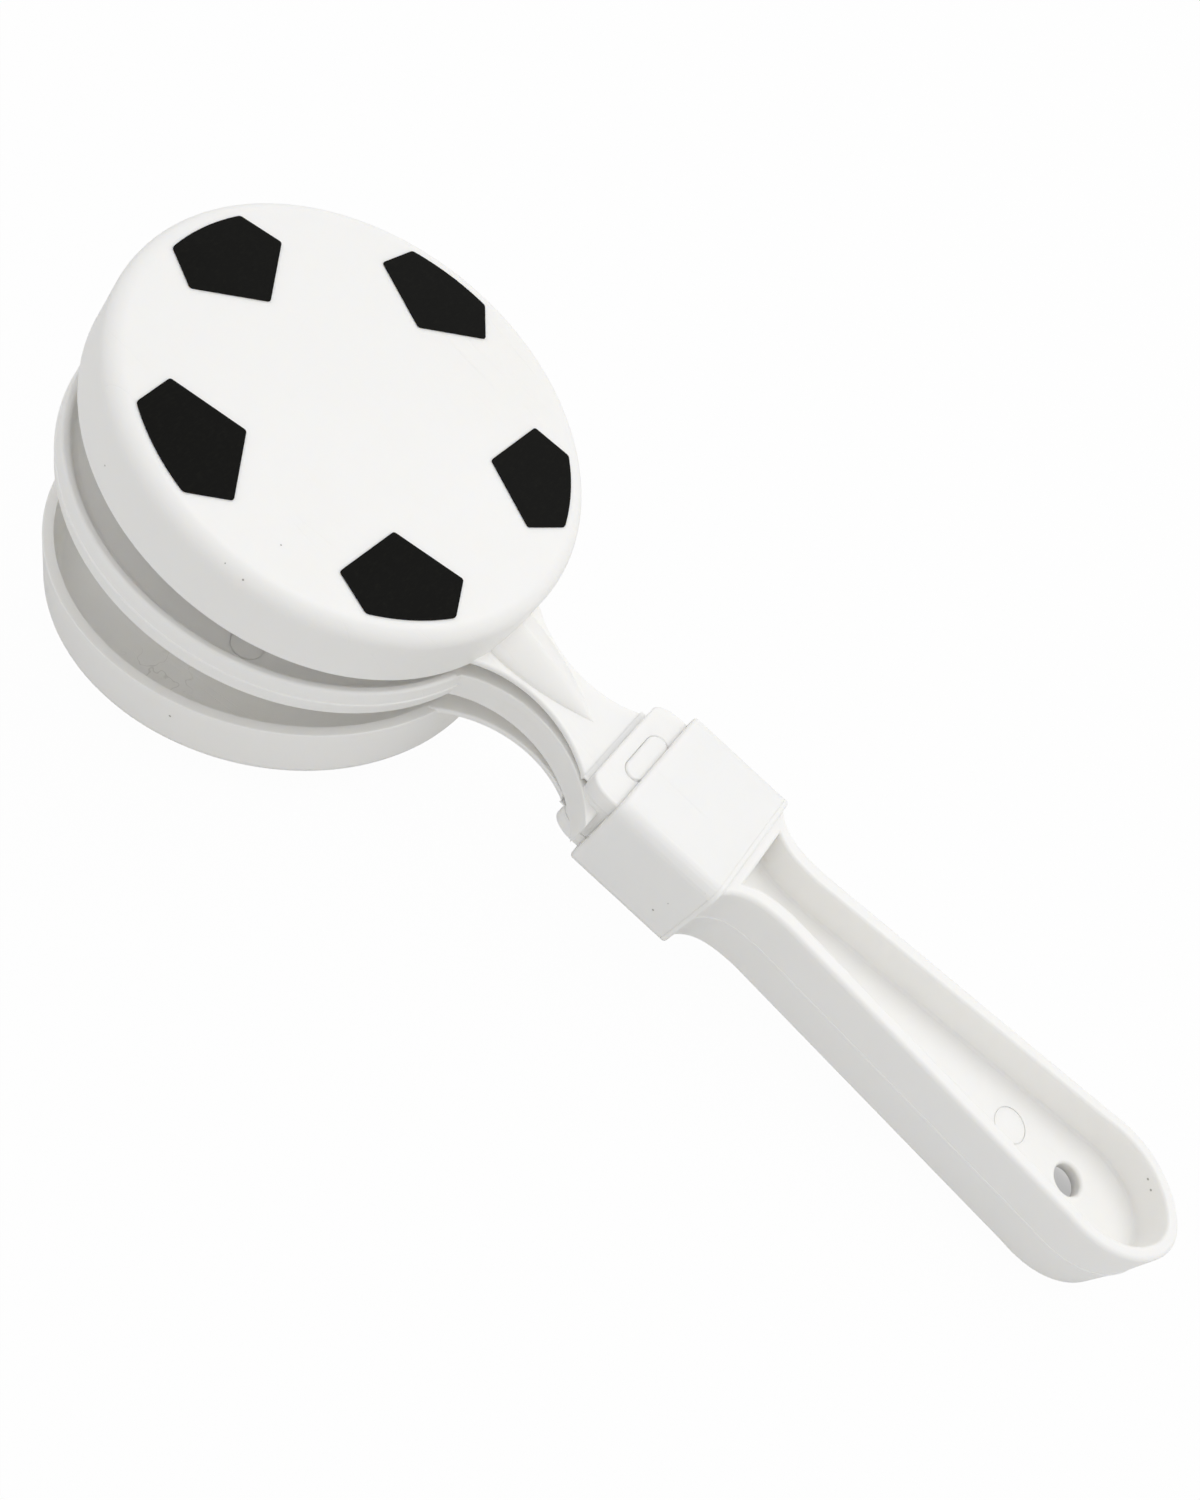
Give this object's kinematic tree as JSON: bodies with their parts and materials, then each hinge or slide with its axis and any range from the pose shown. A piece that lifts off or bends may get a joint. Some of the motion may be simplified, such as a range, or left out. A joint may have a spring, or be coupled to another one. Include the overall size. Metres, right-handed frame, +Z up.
{
  "type": "hand clapper",
  "caption": "Flat-handled noise maker: two shallow round shells on film hinges clap against a rimmed disc that is one piece with the handle; black pentagons on the faces.",
  "frame": {"origin": "centre of the bounding box in plan, on the surface that the clapper lies on", "axes": "+X from the clapping discs to the end of the handle, +Y across, +Z up from the surface; the clapper lies at rest on the lower shell's far edge and on the handle's end, 6.73 degrees off level, as in the picture"},
  "size_m": [0.2538, 0.0912, 0.0682],
  "materials": {
    "white_plastic": "semi-gloss moulded, off-white",
    "black_sticker": "matt black film with a fine grain"
  },
  "bodies": {
    "handle": {"paddle_handle": "white_plastic", "collar": "white_plastic", "top_hinge_tab": "white_plastic", "bottom_hinge_tab": "white_plastic"},
    "top_clapper": {"top_shell": "white_plastic", "top_pentagon_1": "black_sticker", "top_pentagon_2": "black_sticker", "top_pentagon_3": "black_sticker", "top_pentagon_4": "black_sticker", "top_pentagon_5": "black_sticker"},
    "bottom_clapper": {"bottom_shell": "white_plastic", "bottom_pentagon_1": "black_sticker", "bottom_pentagon_2": "black_sticker", "bottom_pentagon_3": "black_sticker", "bottom_pentagon_4": "black_sticker", "bottom_pentagon_5": "black_sticker"}
  },
  "joints": [
    {"name": "top_hinge", "type": "hinge", "parent": "handle", "child": "top_clapper", "pos_m": [-0.00831, 0, 0.03001], "axis": [0, 1, 0], "range_deg": [-6.3, 63.7], "stiffness_Nm_per_rad": 0.4, "springref_deg": 1.72},
    {"name": "bottom_hinge", "type": "hinge", "parent": "handle", "child": "bottom_clapper", "pos_m": [-0.00945, 0, 0.02038], "axis": [0, -1, 0], "range_deg": [-10.5, 59.5], "stiffness_Nm_per_rad": 0.4, "springref_deg": 6.88}
  ]
}
